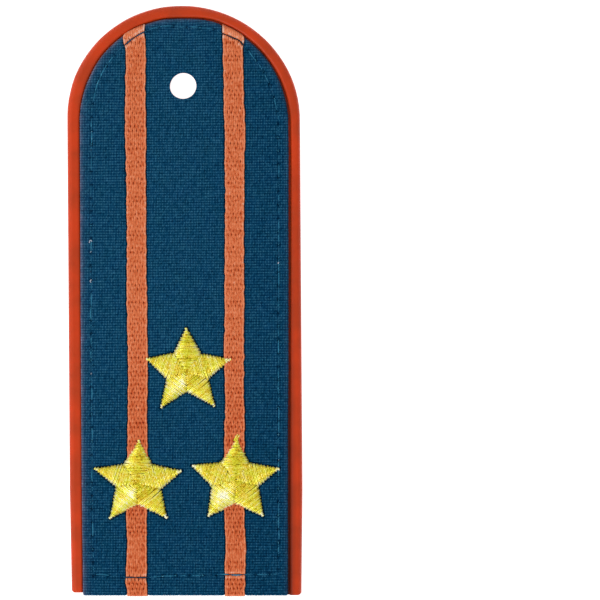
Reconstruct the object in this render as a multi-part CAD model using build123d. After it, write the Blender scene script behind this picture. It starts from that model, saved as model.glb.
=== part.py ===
from build123d import *
import os
from math import cos, pi, sin

os.makedirs("parts", exist_ok=True)

# A shoulder board lying on its back. X runs across it, Y towards its rounded end, Z up out of its face.
# All sizes are in millimetres.

# Plan of the moulded tray and of the cloth field inside its edging
board_width = 56.0  # over the edging, along the straight sides
board_length = 142.0  # from the crown of the edging to the square end of the cloth
edging_width = 2.8
edging_groove = 0.2  # open groove between the edging and the cloth
edging_setback = 0.5  # how far the edging stops short of the cloth's square end
edging_corner = 0.9  # plan radius of the edging's two ends
edging_narrowing = 0.4  # each side, at the square end
edging_narrowing_share = 0.22  # of the straight side
field_narrowing = 0.3  # each side, at the square end
field_narrowing_share = 0.9  # of the straight side
field_corner = 1.3  # plan radius of the cloth's two corners

# Heights, counted from the surface that the board lies on
plate_thickness = 2.0
edging_height = 3.2
edging_outer_round = 1.3
edging_inner_round = 0.8
tray_bottom_round = 0.4
seat_gap = 0.05  # between any two pieces that lie on each other

# Cloth, which turns down round the square end and under as a hem
cloth_thickness = 1.3
cloth_round = 0.9
wrap_thickness = 1.2
hem_thickness = 0.8
hem_length = 9.0

# Woven stripes, let into the cloth
stripe_width = 5.0
stripe_offset = 11.8  # from the middle of the pair to the centre of each
stripe_shift = 0.2  # of the pair, off the board's centreline
stripe_proud = 0.2
stripe_depth = 0.4
stripe_side_gap = 0.05

# Hole for the button's shank
hole_radius = 3.2
hole_from_crown = 19.4

# Embroidered stars
star_radius = 10.9  # centre to tip
star_waist = 5.4  # centre to notch
star_wall = 0.4  # height of the star's edge
star_rise = 0.8  # from the edge up to the ridge at the centre
star_arms = 5
side_star_shift = 0.4  # of the two lower stars, off their stripes
top_star_shift = 0.5  # off the board's centreline
top_star_from_end = 53.4
side_star_from_end = 26.8

# Places worked out from the sizes above. The stripes stand proud at the square end, so the board's middle
# is half of that off the middle of the cloth and tray.
board_half = board_width / 2
field_half = board_half - edging_width - edging_groove
crown_y = (board_length + stripe_proud) / 2
field_crown_y = crown_y - edging_width - edging_groove
field_end_y = crown_y - board_length
edging_end_y = field_end_y + edging_setback
plate_end_y = field_end_y + wrap_thickness + seat_gap
hem_end_y = field_end_y + hem_length
hole_y = crown_y - hole_from_crown

hem_top = stripe_proud + hem_thickness
panel_under = plate_thickness + seat_gap
cloth_top = panel_under + cloth_thickness
stripe_top = cloth_top + stripe_proud
star_under = cloth_top + seat_gap
past = 3.0  # how far a cutting shape runs past what it cuts

stripes = {"stripe_left": stripe_shift - stripe_offset, "stripe_right": stripe_shift + stripe_offset}

# Each star's name, its place across the board and its distance from the square end
stars = [
    ("star_top", top_star_shift, top_star_from_end),
    ("star_left", stripes["stripe_left"] + side_star_shift, side_star_from_end),
    ("star_right", stripes["stripe_right"] + side_star_shift, side_star_from_end),
]


def outline(half_width, crown, end, narrowing, share):
    """Plan of a board: a half circle, straight sides, then sides that narrow to a square end."""
    shoulder = crown - half_width
    knee = end + share * (shoulder - end)
    half_end = half_width - narrowing
    arc = ThreePointArc((-half_width, shoulder), (0, crown), (half_width, shoulder))
    sides = Polyline(
        (half_width, shoulder),
        (half_width, knee),
        (half_end, end),
        (-half_end, end),
        (-half_width, knee),
        (-half_width, shoulder),
    )
    return make_face(arc + sides)


def field_outline(side_grow, end_grow):
    return outline(
        field_half + side_grow,
        field_crown_y + side_grow,
        field_end_y - end_grow,
        field_narrowing,
        field_narrowing_share,
    )


def rounded_end(plan, radius):
    """The same plan with its two corners at the square end rounded."""
    return fillet(plan.vertices().group_by(Axis.Y)[0], radius)


def prism(plan, low, high):
    return extrude(Pos(0, 0, low) * plan, amount=high - low, dir=(0, 0, 1))


def span(x_low, x_high, y_low, y_high, z_low, z_high):
    """A box between two corners."""
    size = (x_high - x_low, y_high - y_low, z_high - z_low)
    middle = ((x_low + x_high) / 2, (y_low + y_high) / 2, (z_low + z_high) / 2)
    return Pos(*middle) * Box(*size)


def across(y_low, y_high, z_low, z_high):
    """A box over the board's whole width."""
    return span(-board_width, board_width, y_low, y_high, z_low, z_high)


def band(centre_x, side_gap, z_low, z_high):
    """A box over the board's whole length, as wide as a stripe and its gap on each side."""
    half = stripe_width / 2 + side_gap
    return span(centre_x - half, centre_x + half, -board_length, board_length, z_low, z_high)


def hole():
    height = 4 * cloth_top
    return Pos(0, hole_y, 0) * Cylinder(hole_radius, height)


def base_tray():
    """Moulded plate with the raised edging on it, open at the square end."""
    long_plan = outline(board_half, crown_y, edging_end_y, edging_narrowing, edging_narrowing_share)
    slab = prism(long_plan, 0, edging_height)
    top_rim = slab.edges().group_by(Axis.Z)[-1].sort_by(Axis.Y)[1:]
    slab = fillet(top_rim, edging_outer_round)
    bottom_rim = slab.edges().group_by(Axis.Z)[0].sort_by(Axis.Y)[1:]
    slab = fillet(bottom_rim, tray_bottom_round)
    slab &= prism(rounded_end(long_plan, edging_corner), 0, edging_height)

    recess_plan = field_outline(edging_groove, past)
    recess = prism(recess_plan, plate_thickness, edging_height + past)
    end_notch = prism(recess_plan, -past, edging_height + past)
    end_notch &= across(-board_length, plate_end_y, -board_length, board_length)
    hem_seat = prism(recess_plan, -past, hem_top + seat_gap)
    hem_seat &= across(-board_length, hem_end_y + seat_gap, -board_length, board_length)
    tray = slab - recess
    inner_rim = [
        edge
        for edge in tray.edges().group_by(Axis.Z)[-1]
        if (edge @ 0.5).Y > edging_end_y + edging_corner and on_recess_wall(edge @ 0.5)
    ]
    tray = fillet(inner_rim, edging_inner_round)
    return tray - end_notch - hem_seat - hole()


def on_recess_wall(point):
    """True on the edging's inner wall, and not on its rounded outer side."""
    shoulder = field_crown_y - field_half
    reach = abs(point.X)
    if point.Y > shoulder:
        reach = Vector(point.X, point.Y - shoulder, 0).length
    return reach < field_half + edging_groove + edging_inner_round / 4


def cloth_envelope(grow, arc_grow):
    """Outer form of the cloth, round its square end and hem, grown by so much."""
    plan = rounded_end(field_outline(arc_grow, grow), field_corner + grow)
    body = prism(plan, stripe_proud - grow, cloth_top + grow)
    rims = body.edges().group_by(Axis.Z)[-1] + body.edges().group_by(Axis.Z)[0]
    return fillet(rims, cloth_round + grow)


def without_core(body):
    """Takes out the room of the plate, between the panel and its hem."""
    body -= across(field_end_y + wrap_thickness, board_length, hem_top, panel_under)
    return body - across(hem_end_y, board_length, -past, panel_under)


def cloth_panel():
    """Cloth field with its wrapped end, its hem, and a channel for each stripe."""
    channel_floor = stripe_depth + seat_gap
    inside = cloth_envelope(-channel_floor, -channel_floor)
    panel = without_core(cloth_envelope(0, 0))
    for centre_x in stripes.values():
        panel -= band(centre_x, stripe_side_gap, -past, stripe_top + past) - inside
    return panel - hole()


def stripe(centre_x):
    """Woven stripe: a skin over the cloth's form, from the arc round the square end and under."""
    outside = cloth_envelope(stripe_proud, 0)
    inside = cloth_envelope(-stripe_depth, -stripe_depth)
    skin = band(centre_x, 0, 0, stripe_top) & (outside - inside)
    return without_core(skin)


def star_plan():
    """Five-point star with one arm towards the rounded end."""
    corners = []
    for step in range(2 * star_arms):
        reach = star_radius if step % 2 == 0 else star_waist
        angle = pi / 2 + step * pi / star_arms
        corners.append((reach * cos(angle), reach * sin(angle)))
    return make_face(Polyline(*corners, close=True))


def star(centre_x, centre_y):
    """Ridged star that lies on the cloth and over any stripe below it."""
    plan = Pos(0, 0, star_wall) * star_plan()
    crest = Vertex(0, 0, star_wall + star_rise)
    body = prism(star_plan(), 0, star_wall) + loft([plan, crest], ruled=True)
    body = Pos(centre_x, centre_y, star_under) * body
    for stripe_x in stripes.values():
        body -= band(stripe_x, stripe_side_gap, 0, stripe_top + seat_gap)
    return body


nodes = {"base_tray": base_tray(), "cloth_panel": cloth_panel()}
for name, centre_x in stripes.items():
    nodes[name] = stripe(centre_x)
for name, centre_x, from_end in stars:
    nodes[name] = star(centre_x, field_end_y + from_end)

for name, body in nodes.items():
    export_step(body, f"parts/{name}.step")
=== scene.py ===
import bpy
import bmesh
import math
import random
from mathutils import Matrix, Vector, kdtree, noise


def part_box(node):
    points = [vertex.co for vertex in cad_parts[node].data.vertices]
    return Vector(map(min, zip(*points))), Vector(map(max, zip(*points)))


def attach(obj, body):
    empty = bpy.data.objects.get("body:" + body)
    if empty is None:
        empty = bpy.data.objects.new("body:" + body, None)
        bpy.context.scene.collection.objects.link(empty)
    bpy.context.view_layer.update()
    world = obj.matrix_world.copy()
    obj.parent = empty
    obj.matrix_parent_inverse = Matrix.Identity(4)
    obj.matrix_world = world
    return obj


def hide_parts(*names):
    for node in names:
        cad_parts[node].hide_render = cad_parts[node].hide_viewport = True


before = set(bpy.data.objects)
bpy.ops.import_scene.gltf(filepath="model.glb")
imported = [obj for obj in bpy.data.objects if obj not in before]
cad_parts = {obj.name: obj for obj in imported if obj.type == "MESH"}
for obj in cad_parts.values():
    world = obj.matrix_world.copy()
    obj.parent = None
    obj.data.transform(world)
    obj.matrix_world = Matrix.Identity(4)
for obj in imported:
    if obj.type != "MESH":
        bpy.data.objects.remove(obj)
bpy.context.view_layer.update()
mm = 0.001
sameSpot = 0.0001 * mm      # points nearer to each other than this are merged

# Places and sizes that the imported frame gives
clothLow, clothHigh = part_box("cloth_panel")
trayLow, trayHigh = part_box("base_tray")
stripeBoxes = {name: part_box(name) for name in ("stripe_left", "stripe_right")}
print("stage: frame loaded")


# Small helpers

def linearColour(hexText):
    channels = [int(hexText[i:i + 2], 16) / 255 for i in (1, 3, 5)]
    return [c / 12.92 if c <= 0.04045 else ((c + 0.055) / 1.055) ** 2.4 for c in channels] + [1.0]


def setStops(ramp, stops):
    while len(ramp.elements) < len(stops):
        ramp.elements.new(0.5)
    for element, (place, colour) in zip(ramp.elements, stops):
        element.position = place
        element.color = linearColour(colour)


def addNode(material, kind, settings=None, links=None):
    # settings: input name, input number, node property or a ramp's "stops" -> value
    # links: input -> (node, output)
    tree = material.node_tree
    node = tree.nodes.new(kind)
    for key, value in (settings or {}).items():
        if isinstance(key, int) or key in node.inputs:
            node.inputs[key].default_value = value
        elif key == "stops":
            setStops(node.color_ramp, value)
        else:
            setattr(node, key, value)
    for key, (source, output) in (links or {}).items():
        tree.links.new(source.outputs[output], node.inputs[key])
    return node


def newMaterial(name):
    material = bpy.data.materials.new(name)
    material.use_nodes = True
    material.node_tree.nodes.clear()
    return material


def addObject(name, data):
    made = bpy.data.objects.new(name, data)
    bpy.context.scene.collection.objects.link(made)
    return made


def addPiece(name, mesh, material):
    mesh.materials.clear()
    mesh.materials.append(material)
    piece = addObject(name, mesh)
    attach(piece, "root")
    return piece


def meshFromBmesh(name, bm):
    mesh = bpy.data.meshes.new(name)
    bm.to_mesh(mesh)
    bm.free()
    mesh.polygons.foreach_set("use_smooth", [True] * len(mesh.polygons))
    return mesh


def joinInto(bm, part):
    # Adds one bmesh to another
    mesh = meshFromBmesh("part", part)
    bm.from_mesh(mesh)
    bpy.data.meshes.remove(mesh)


def threadMesh(paths, radius, sides):
    # Each path is a list of (point, share of radius, tone). A round thread follows it, with closed ends.
    curve = bpy.data.curves.new("threads", "CURVE")
    curve.dimensions = "3D"
    curve.bevel_depth = radius
    curve.bevel_resolution = sides // 2 - 2
    curve.use_fill_caps = True
    for path in paths:
        spline = curve.splines.new("POLY")
        spline.points.add(len(path) - 1)
        for point, (place, share, _) in zip(spline.points, path):
            point.co = (*place, 1)
            point.radius = share
    holder = bpy.data.objects.new("threads", curve)
    mesh = bpy.data.meshes.new_from_object(holder)
    bpy.data.objects.remove(holder)
    bpy.data.curves.remove(curve)

    # The end caps come first, from the last thread to the first, and then every ring in order
    tones = []
    for path in reversed(paths):
        tones += [path[-1][2]] * sides + [path[0][2]] * sides
    for path in paths:
        for _, _, tone in path:
            tones += [tone] * sides
    mesh.attributes.new("tone", "FLOAT", "POINT").data.foreach_set("value", tones)
    bm = bmesh.new()
    bm.from_mesh(mesh)
    bpy.data.meshes.remove(mesh)
    bmesh.ops.remove_doubles(bm, verts=bm.verts, dist=sameSpot)
    return bm


def newToneMesh():
    bm = bmesh.new()
    return bm, bm.verts.layers.float.new("tone")


def clamp(value, low=0.0, high=1.0):
    return min(max(value, low), high)


def bell(distance, width):
    return math.exp(-(distance / width) ** 2)


def blend(share):
    share = clamp(share)
    return share * share * (3 - 2 * share)


def between(rows, place):
    # Smooth value from a short table of rows, each a place and then its values, places rising
    if place <= rows[0][0]:
        return rows[0][1:]
    for row, following in zip(rows, rows[1:]):
        if place < following[0]:
            share = blend((place - row[0]) / (following[0] - row[0]))
            return [a + (b - a) * share for a, b in zip(row[1:], following[1:])]
    return rows[-1][1:]


def noiseAt(x, y, z=0.0):
    return noise.noise(Vector((x, y, z)))


def vary(most):
    # A random amount, up to this much either way
    return random.uniform(-most, most)


# The cloth as one sheet. A place on it is (across, along), measured on the flat cut.

cover = {
    # At the left edge and at the right one; round the arc it goes over from one to the other
    "edgeRound": (0.40 * mm, 0.35 * mm),    # how far in the edge starts to turn down
    "edgeDrop": (0.50 * mm, 1.15 * mm),     # how far down the turned edge reaches
    "turn": 0.6 * mm,           # cloth beyond the edge, for the turn
    "endBend": 0.9 * mm,        # radius of the turn at the square end
    "turnDrop": 0.8 * mm,       # the edge drops less than this round the square end
    "endSkew": 0.0055,          # the square end was cut this share out of true
    "skewLength": 20 * mm,      # and the cloth gets there over this length
    "hemReach": 8.8 * mm,
    # Ribs and threads are as coarse as the photo can show them, and the real ones may be finer
    "ribPitch": 0.64 * mm,
    "threadPitch": 0.385 * mm,
    "gridSkip": (6, 8),         # one grid line in so many is kept under a stripe, and deep in the hem
    "rimReach": 1.5 * mm,       # the grid's stepped rim lies within this of the true circle
    "relief": 0.07 * mm,
    "weave": (0.47, 0.34, 0.24),        # shares of warp, weft and their crossings in the height
    "uneven": (0.6, 0.5),       # how unevenly warp and weft stand out
    "slub": 0.1,                # slubs add this share of the height
    "tick": 0.5,                # and single crossings this
    "tone": (0.49, 0.42, 0.03, 0.34),   # its middle, then the shares of height (painted shade in the pinholes, painted highlight on the crossings), slubs and crossings
    "lowerShade": (0.05, 60 * mm),      # darker by this towards the square end, over this length
    "rightShade": (0.04, 20 * mm),      # and towards the right edge
    "sway": (0.07 * mm, 0.18 * mm),     # how far the threads wander, across and along
    # Painted edge highlight: strength and width, close to the left edge, further in from it, and at the right
    # edge
    "pale": ((0.44, 0.36 * mm), (0.03, 1.3 * mm), (0.04, 0.8 * mm)),
    "edgeHighlightReach": 4 * mm,        # none of it further in than this
    "edgeHighlightPatches": (0.9, 1.2 * mm),     # how uneven it is, and in patches of what size
}
cover["half"] = clothHigh.x
cover["shoulder"] = clothHigh.y - clothHigh.x
cover["flatEnd"] = clothLow.y + cover["endBend"]
cover["endDrop"] = clothHigh.z - clothLow.z - 2 * cover["endBend"]
cover["hemStart"] = cover["flatEnd"] - cover["endDrop"] - math.pi * cover["endBend"]
cover["outer"] = cover["half"] + cover["turn"]

# How far the real outlines lie outside true ones, in mm: (place, tray's outer side, tray's wall, cloth).
# Places run from the right of the square end: mm below the shoulder as a minus, degrees round the arc,
# and then 180 and the mm below the left shoulder.
strays = [
    (-115, 0.20, 0.06, -0.42), (-100, 0.18, 0.10, -0.33), (-79, 0.16, 0.22, -0.22), (-55, 0.15, 0.46, 0.05),
    (-31, 0.14, 0.32, 0.18), (-7, 0.10, 0.64, 0.32), (0, 0.05, 0.58, 0.28), (9, 0.12, 0.42, 0.15),
    (20, 0.14, 0.29, 0.10), (40, 0.03, 0.18, 0.08), (55, -0.06, 0.23, 0.06), (72, -0.10, 0.38, 0.15),
    (90, -0.02, -0.15, -0.17), (104, 0.14, 0.19, 0.10), (120, 0.28, 0.32, 0.25), (138, 0.40, 0.25, 0.22),
    (156, 0.40, -0.06, -0.03), (168, 0.20, -0.18, -0.06), (180, -0.01, -0.27, -0.05),
    (210, -0.05, -0.32, -0.02), (235, -0.11, -0.21, 0.0), (259, -0.14, -0.11, -0.02),
    (294, -0.08, -0.10, -0.18),
]


def outwardAt(x, y):
    # The way out from the middle of the board: direction, reach and the place for the strays
    if y > cover["shoulder"]:
        reach = math.hypot(x, y - cover["shoulder"])
        degrees = math.degrees(math.atan2(y - cover["shoulder"], x))
        return x / reach, (y - cover["shoulder"]) / reach, reach, degrees
    below = (cover["shoulder"] - y) / mm
    return (1.0, 0.0, x, -below) if x > 0 else (-1.0, 0.0, -x, 180 + below)


def clothStray(x, y):
    # How far the cloth's own outline moves a point of the true face
    outX, outY, reach, place = outwardAt(x, y)
    shift = between(strays, place)[2] * mm * (reach / cover["half"]) ** 3
    return outX * shift, outY * shift


def profilePoint(along):
    # Down the board, round its square end and back under as the hem: (y, z, normal y, normal z)
    bend, top, low = cover["endBend"], clothHigh.z, clothLow.z
    past = cover["flatEnd"] - along
    if past <= 0:
        return along, top, 0.0, 1.0
    quarter = math.pi / 2 * bend
    if past <= quarter:
        angle = past / bend
    elif past <= quarter + cover["endDrop"]:
        return clothLow.y, top - bend - (past - quarter), -1.0, 0.0
    else:
        angle = math.pi / 2 + (past - quarter - cover["endDrop"]) / bend
    if angle <= math.pi:
        sine, cosine = math.sin(angle), math.cos(angle)
        centre = top - bend if angle <= math.pi / 2 else low + bend
        return cover["flatEnd"] - bend * sine, centre + bend * cosine, -sine, cosine
    return cover["flatEnd"] + (angle - math.pi) * bend, low, 0.0, -1.0


def clothPoint(across, along, lift):
    # Where a place on the flat cut, this much off its face, comes to lie on the finished board
    outX, outY, reach, _ = outwardAt(across, along)
    edgeRound, edgeDrop = (
        left + (right - left) * (0.5 + 0.5 * outX) for left, right in (cover["edgeRound"], cover["edgeDrop"]))
    flatHalf = cover["half"] - edgeRound
    drop = 0.0
    tilt = 0.0
    if reach > flatHalf:
        tilt = min((reach - flatHalf) / (cover["outer"] - flatHalf), 1.0) * math.pi / 2
        shift = flatHalf + edgeRound * math.sin(tilt) - reach
        across += outX * shift
        along += outY * shift
        drop = edgeDrop * (1 - math.cos(tilt))
    y, z, normalY, normalZ = profilePoint(along)
    if along < cover["flatEnd"]:
        drop = min(drop, cover["turnDrop"])
    rise = lift * math.cos(tilt) - drop
    sideways = lift * math.sin(tilt)
    x = across + outX * sideways
    y += outY * sideways + normalY * rise
    y -= across * cover["endSkew"] * blend((cover["flatEnd"] + cover["skewLength"] - y) / cover["skewLength"])
    strayX, strayY = clothStray(x, y)
    return Vector((x + strayX, y + strayY, z + normalZ * rise))


def flatPlace(x, y):
    # The place on the flat cut of a point of the finished face
    strayX, strayY = clothStray(x, y)
    return x - strayX, y - strayY


# The machine seam, a closed line of stitches inside the cloth's edge

seam = {
    "left": 22.45 * mm,         # from the middle to each side
    "right": 22.6 * mm,
    "leftBend": 15 * mm,        # along: from here up the left side draws in
    "end": clothLow.y + 4.75 * mm,
    "endSteps": 45,
    # Along the square end: mm across, and mm above its place
    "endStray": [
        (-22.4, 0.35), (-17.5, 0.1), (-14, -0.38), (-9.5, -0.38), (-4, 0.05), (12, 0.3), (22.6, 0.4),
    ],
    # Round the arc: degrees, and mm from its centre
    "arc": [
        (0, 22.6), (18, 22.5), (26, 22.55), (40, 22.8), (51, 23.25), (55.5, 23.7), (60, 23.4), (66, 23.15),
        (72, 23.25), (80, 22.95), (90, 22.9), (98, 23.3), (105, 23.55), (113, 23.45), (120, 23.3),
        (127, 23.05), (145, 22.8), (165, 22.4), (180, 22.1),
    ],
    "stitch": 3.25 * mm,
    "steps": 20,                # points to a stitch
    "thread": 0.16 * mm,        # radius
    "sink": 0.12 * mm,          # how deep the seam lies in the cloth
    "pinch": 0.20 * mm,         # and how much deeper at each needle hole
    "pinchLength": 0.35 * mm,
    "dentWidth": 0.36 * mm,
    "holeShade": (0.45, 0.3 * mm, 0.4 * mm),    # the cloth is darker at a hole: share, width and length
    # Heights of a stitch: its ends, then what its middle, and a stripe under it, add
    "low": -0.37 * mm,
    "rise": 0.24 * mm,
    "onStripe": 0.19 * mm,
    "climb": 0.4 * mm,          # it rises onto a stripe over this length
    "wander": 0.12 * mm,        # a stitch strays aside by up to this
    "sunk": 0.14 * mm,          # and is pulled in by up to this
    "tone": (0.3, 0.7),         # lowest and highest of a stitch
    "mottle": 0.4,              # and how much it changes along the stitch
    # Tone where it crosses a stripe: at the square end, and at the arc. Low tones are painted shade of the
    # groove the thread lies in.
    "crossing": {"stripe_left": (0.15, 0.3), "stripe_right": (0.85, 0.05)},
    "knots": 0.2,               # share of the needle holes at which the lower thread shows
    "knotRadius": 0.12 * mm,
    "knotTone": (0.6, 0.95),
    # Caught fibres: place on the flat cut and radius in mm, then direction
    "lint": [(-22.5, 14.3, 0.30, 0.3), (-22.4, 4.9, 0.22, 1.2), (22.6, 9.0, 0.12, 1.0)],
    "curlSteps": 6,
    "curlTurn": 0.55,           # radians to a step
    "curlStretch": 1.4,
    "curlHeight": (0.02 * mm, 0.08 * mm),       # at its ends, and what its middle adds
}


def seamLine(step):
    # Points on the closed line, evenly spaced, from the left corner up, round and back
    corners = [(-seam["left"], seam["end"]), (-seam["left"], seam["leftBend"])]
    for degrees in range(180, -1, -1):
        reach = between(seam["arc"], degrees)[0] * mm
        angle = math.radians(degrees)
        corners.append((reach * math.cos(angle), cover["shoulder"] + reach * math.sin(angle)))
    for i in range(seam["endSteps"] + 1):
        x = seam["right"] - (seam["left"] + seam["right"]) * i / seam["endSteps"]
        corners.append((x, seam["end"] + between(seam["endStray"], x / mm)[0] * mm))
    points = [corners[0]]
    toNext = step
    for (x0, y0), (x1, y1) in zip(corners, corners[1:]):
        length = math.hypot(x1 - x0, y1 - y0)
        done = 0.0
        while length - done >= toNext:
            done += toNext
            toNext = step
            points.append((x0 + (x1 - x0) * done / length, y0 + (y1 - y0) * done / length))
        toNext -= length - done
    return points


def buildSeamTree():
    points = seamLine(seam["stitch"] / seam["steps"])
    tree = kdtree.KDTree(len(points))
    for i, (x, y) in enumerate(points):
        tree.insert((x, y, 0), i)
    tree.balance()
    return tree


seamTree = buildSeamTree()


def seamNear(across, along):
    # Distance to the seam, and along it to the nearest needle hole
    _, index, distance = seamTree.find((across, along, 0))
    turn = index / seam["steps"]
    return distance, abs(turn - round(turn)) * seam["stitch"]


def seamDent(distance, fromHole):
    if distance > 3 * seam["dentWidth"]:
        return 0.0
    depth = seam["sink"] + seam["pinch"] * bell(fromHole, seam["pinchLength"])
    return depth * bell(distance, seam["dentWidth"])


# Where the stripes run

stripe = {
    "half": 2.5 * mm,
    "yarns": 11,
    "hidden": 1.9 * mm,         # the cloth is left plain this far each side of a stripe's centre
    "hiddenDepth": 0.5 * mm,    # and lies this deep
    "near": 4 * mm,             # beyond this from the centre the stripe doesn't touch the cloth
    "edgeDent": 0.22 * mm,      # depth of the cloth beside a stripe
    "edgeDentWidth": 0.24 * mm,
    "edgeShade": (0.45, 0.22 * mm),     # it is darker there: share and width
    "repeat": 2.1 * mm,         # two neighbouring yarns part once in this length
    "part": 0.085 * mm,         # how far each moves aside there
    "outerPart": 0.3,           # an outermost yarn moves this share of it
    "partLength": 0.36 * mm,
    "openness": (0.9, 0.6),     # how far they part, by turns
    "partVary": 0.6,            # how much that varies
    "looser": (0.28, 25 * mm),  # they part more in the lower half: by this much, over this length
    "pressed": (0.7, -61 * mm, 4 * mm),     # and less above the square end's seam: by, where, length
    "jitter": (0.5 * mm, 0.2 * mm),     # all the pinholes stray along by this, and each yarn's by this
    "yarnRadius": 0.27 * mm,
    "thinning": 0.15,           # share that a yarn loses where it dips
    "proud": 0.05 * mm,         # height of a yarn's centre line over the cloth
    "dip": 0.08 * mm,
    "sway": (0.04 * mm, 0.03 * mm),     # how far a yarn strays, aside and up
    "wave": 0.05 * mm,          # how far the edges waver
    "waveLength": 4.2 * mm,
    "ragged": 0.12 * mm,        # and stray by chance, in waves of these two lengths
    "raggedLengths": (5 * mm, 1.3 * mm),
    "sampling": 0.30 * mm,
    "seamSink": 0.42 * mm,      # how deep the seam draws the yarns in
    "hemSink": 0.20 * mm,       # under the hem the yarns are pressed in
    "arcInset": 0.15 * mm,      # they end this far inside the cloth's turned edge
    # The strip beneath, which shows between parted yarns; its dark tone is painted shade
    "bed": -0.13 * mm,
    "bedInset": 0.35 * mm,
    "bedEnd": 0.6 * mm,
    "bedThickness": 0.10 * mm,
    "bedSegments": (8, 500),
    "bedTone": 0.15,
    # A yarn's tone: its middle, then what is added or, where it says so, taken
    "tones": {
        "middle": 0.57,
        "slow": 0.13,           # soft changes along the yarn
        "fine": 0.32,           # and sharp ones
        "outer": 0.18,          # the outermost yarns
        "flat": 0.08,           # outside the seam at the arc
        # painted highlight on the yarns that bulge beside the seam
        "besideSeam": 0.30,
        "dip": 0.13,            # taken where it dips, as painted shade
        "lower": 0.06,          # taken towards the square end
        "atSeam": 0.35,         # taken under the seam's thread, as painted shade
    },
    # Seeds for the edges, the yarns and the pinholes
    "seeds": {"stripe_left": (3.0, 0.0, 0.0), "stripe_right": (9.0, 40.0, 50.0)},
    # How far each edge strays from true, left and right, along the stripe: (along, left, right) in mm
    "stray": {
        "stripe_left": [
            (-71, -0.15, -0.2), (-69.5, -0.12, -0.2), (-67.5, -0.52, -0.33), (-63, -0.25, -0.27),
            (-59, 0.0, -0.3), (-53.5, -0.14, -0.23), (-40, 0.05, 0.1), (-32, 0.2, 0.05), (-25.5, 0.33, 0.0),
            (-19, 0.45, 0.2), (-12.5, 0.42, 0.25), (-6, 0.3, 0.12), (0.5, 0.18, 0.17), (7, 0.27, 0.0),
            (20, 0.33, 0.03), (33, 0.23, 0.0), (39.5, 0.0, 0.15), (46, 0.02, 0.1), (52.5, 0.25, 0.0),
            (58, 0.4, 0.25), (61, 0.33, 0.2), (62.2, 0.0, 0.1), (64, -0.2, -0.05), (68, -0.35, -0.3),
        ],
        "stripe_right": [
            (-71, -0.15, -0.25), (-67.5, -0.05, -0.15), (-63, -0.15, -0.05), (-59, 0.2, 0.08),
            (-53.5, -0.1, -0.28), (-40, -0.15, -0.33), (-32, -0.07, -0.08), (-25.5, 0.23, -0.2),
            (-19, 0.1, -0.28), (-12.5, -0.1, -0.22), (-6, 0.13, -0.2), (0.5, 0.15, -0.04), (7, 0.2, -0.1),
            (13.5, 0.3, -0.12), (26.5, 0.45, 0.05), (33, 0.32, 0.05), (39.5, 0.45, 0.35), (46, 0.2, 0.25),
            (52.5, 0.25, -0.05), (58, 0.05, 0.0), (60.5, 0.05, -0.1), (61.5, 0.1, 0.0), (63, 0.0, 0.22),
            (64.3, -0.1, 0.15), (68, 0.0, 0.1),
        ],
    },
}
stripeCentres = {name: (low.x + high.x) / 2 for name, (low, high) in stripeBoxes.items()}


def raggedness(seed, along, rows):
    # How far an edge strays by chance; each wave length has its own row of noise
    waves = zip(stripe["raggedLengths"], rows)
    return sum(stripe["ragged"] * noiseAt(seed, along / length, row) for length, row in waves)


def stripeEdges(name, along):
    # Across the flat cut: the stripe's left and right edges at this place
    left, right = between(stripe["stray"][name], along / mm)
    centre = stripeCentres[name]
    seed = stripe["seeds"][name][0]
    wave = stripe["wave"] * math.sin(2 * math.pi * along / stripe["waveLength"] + seed)
    return (centre - stripe["half"] + left * mm - wave + raggedness(seed, along, (0, 4)),
            centre + stripe["half"] + right * mm + wave + raggedness(seed, along, (7, 9)))


# Where the stars lie

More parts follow.
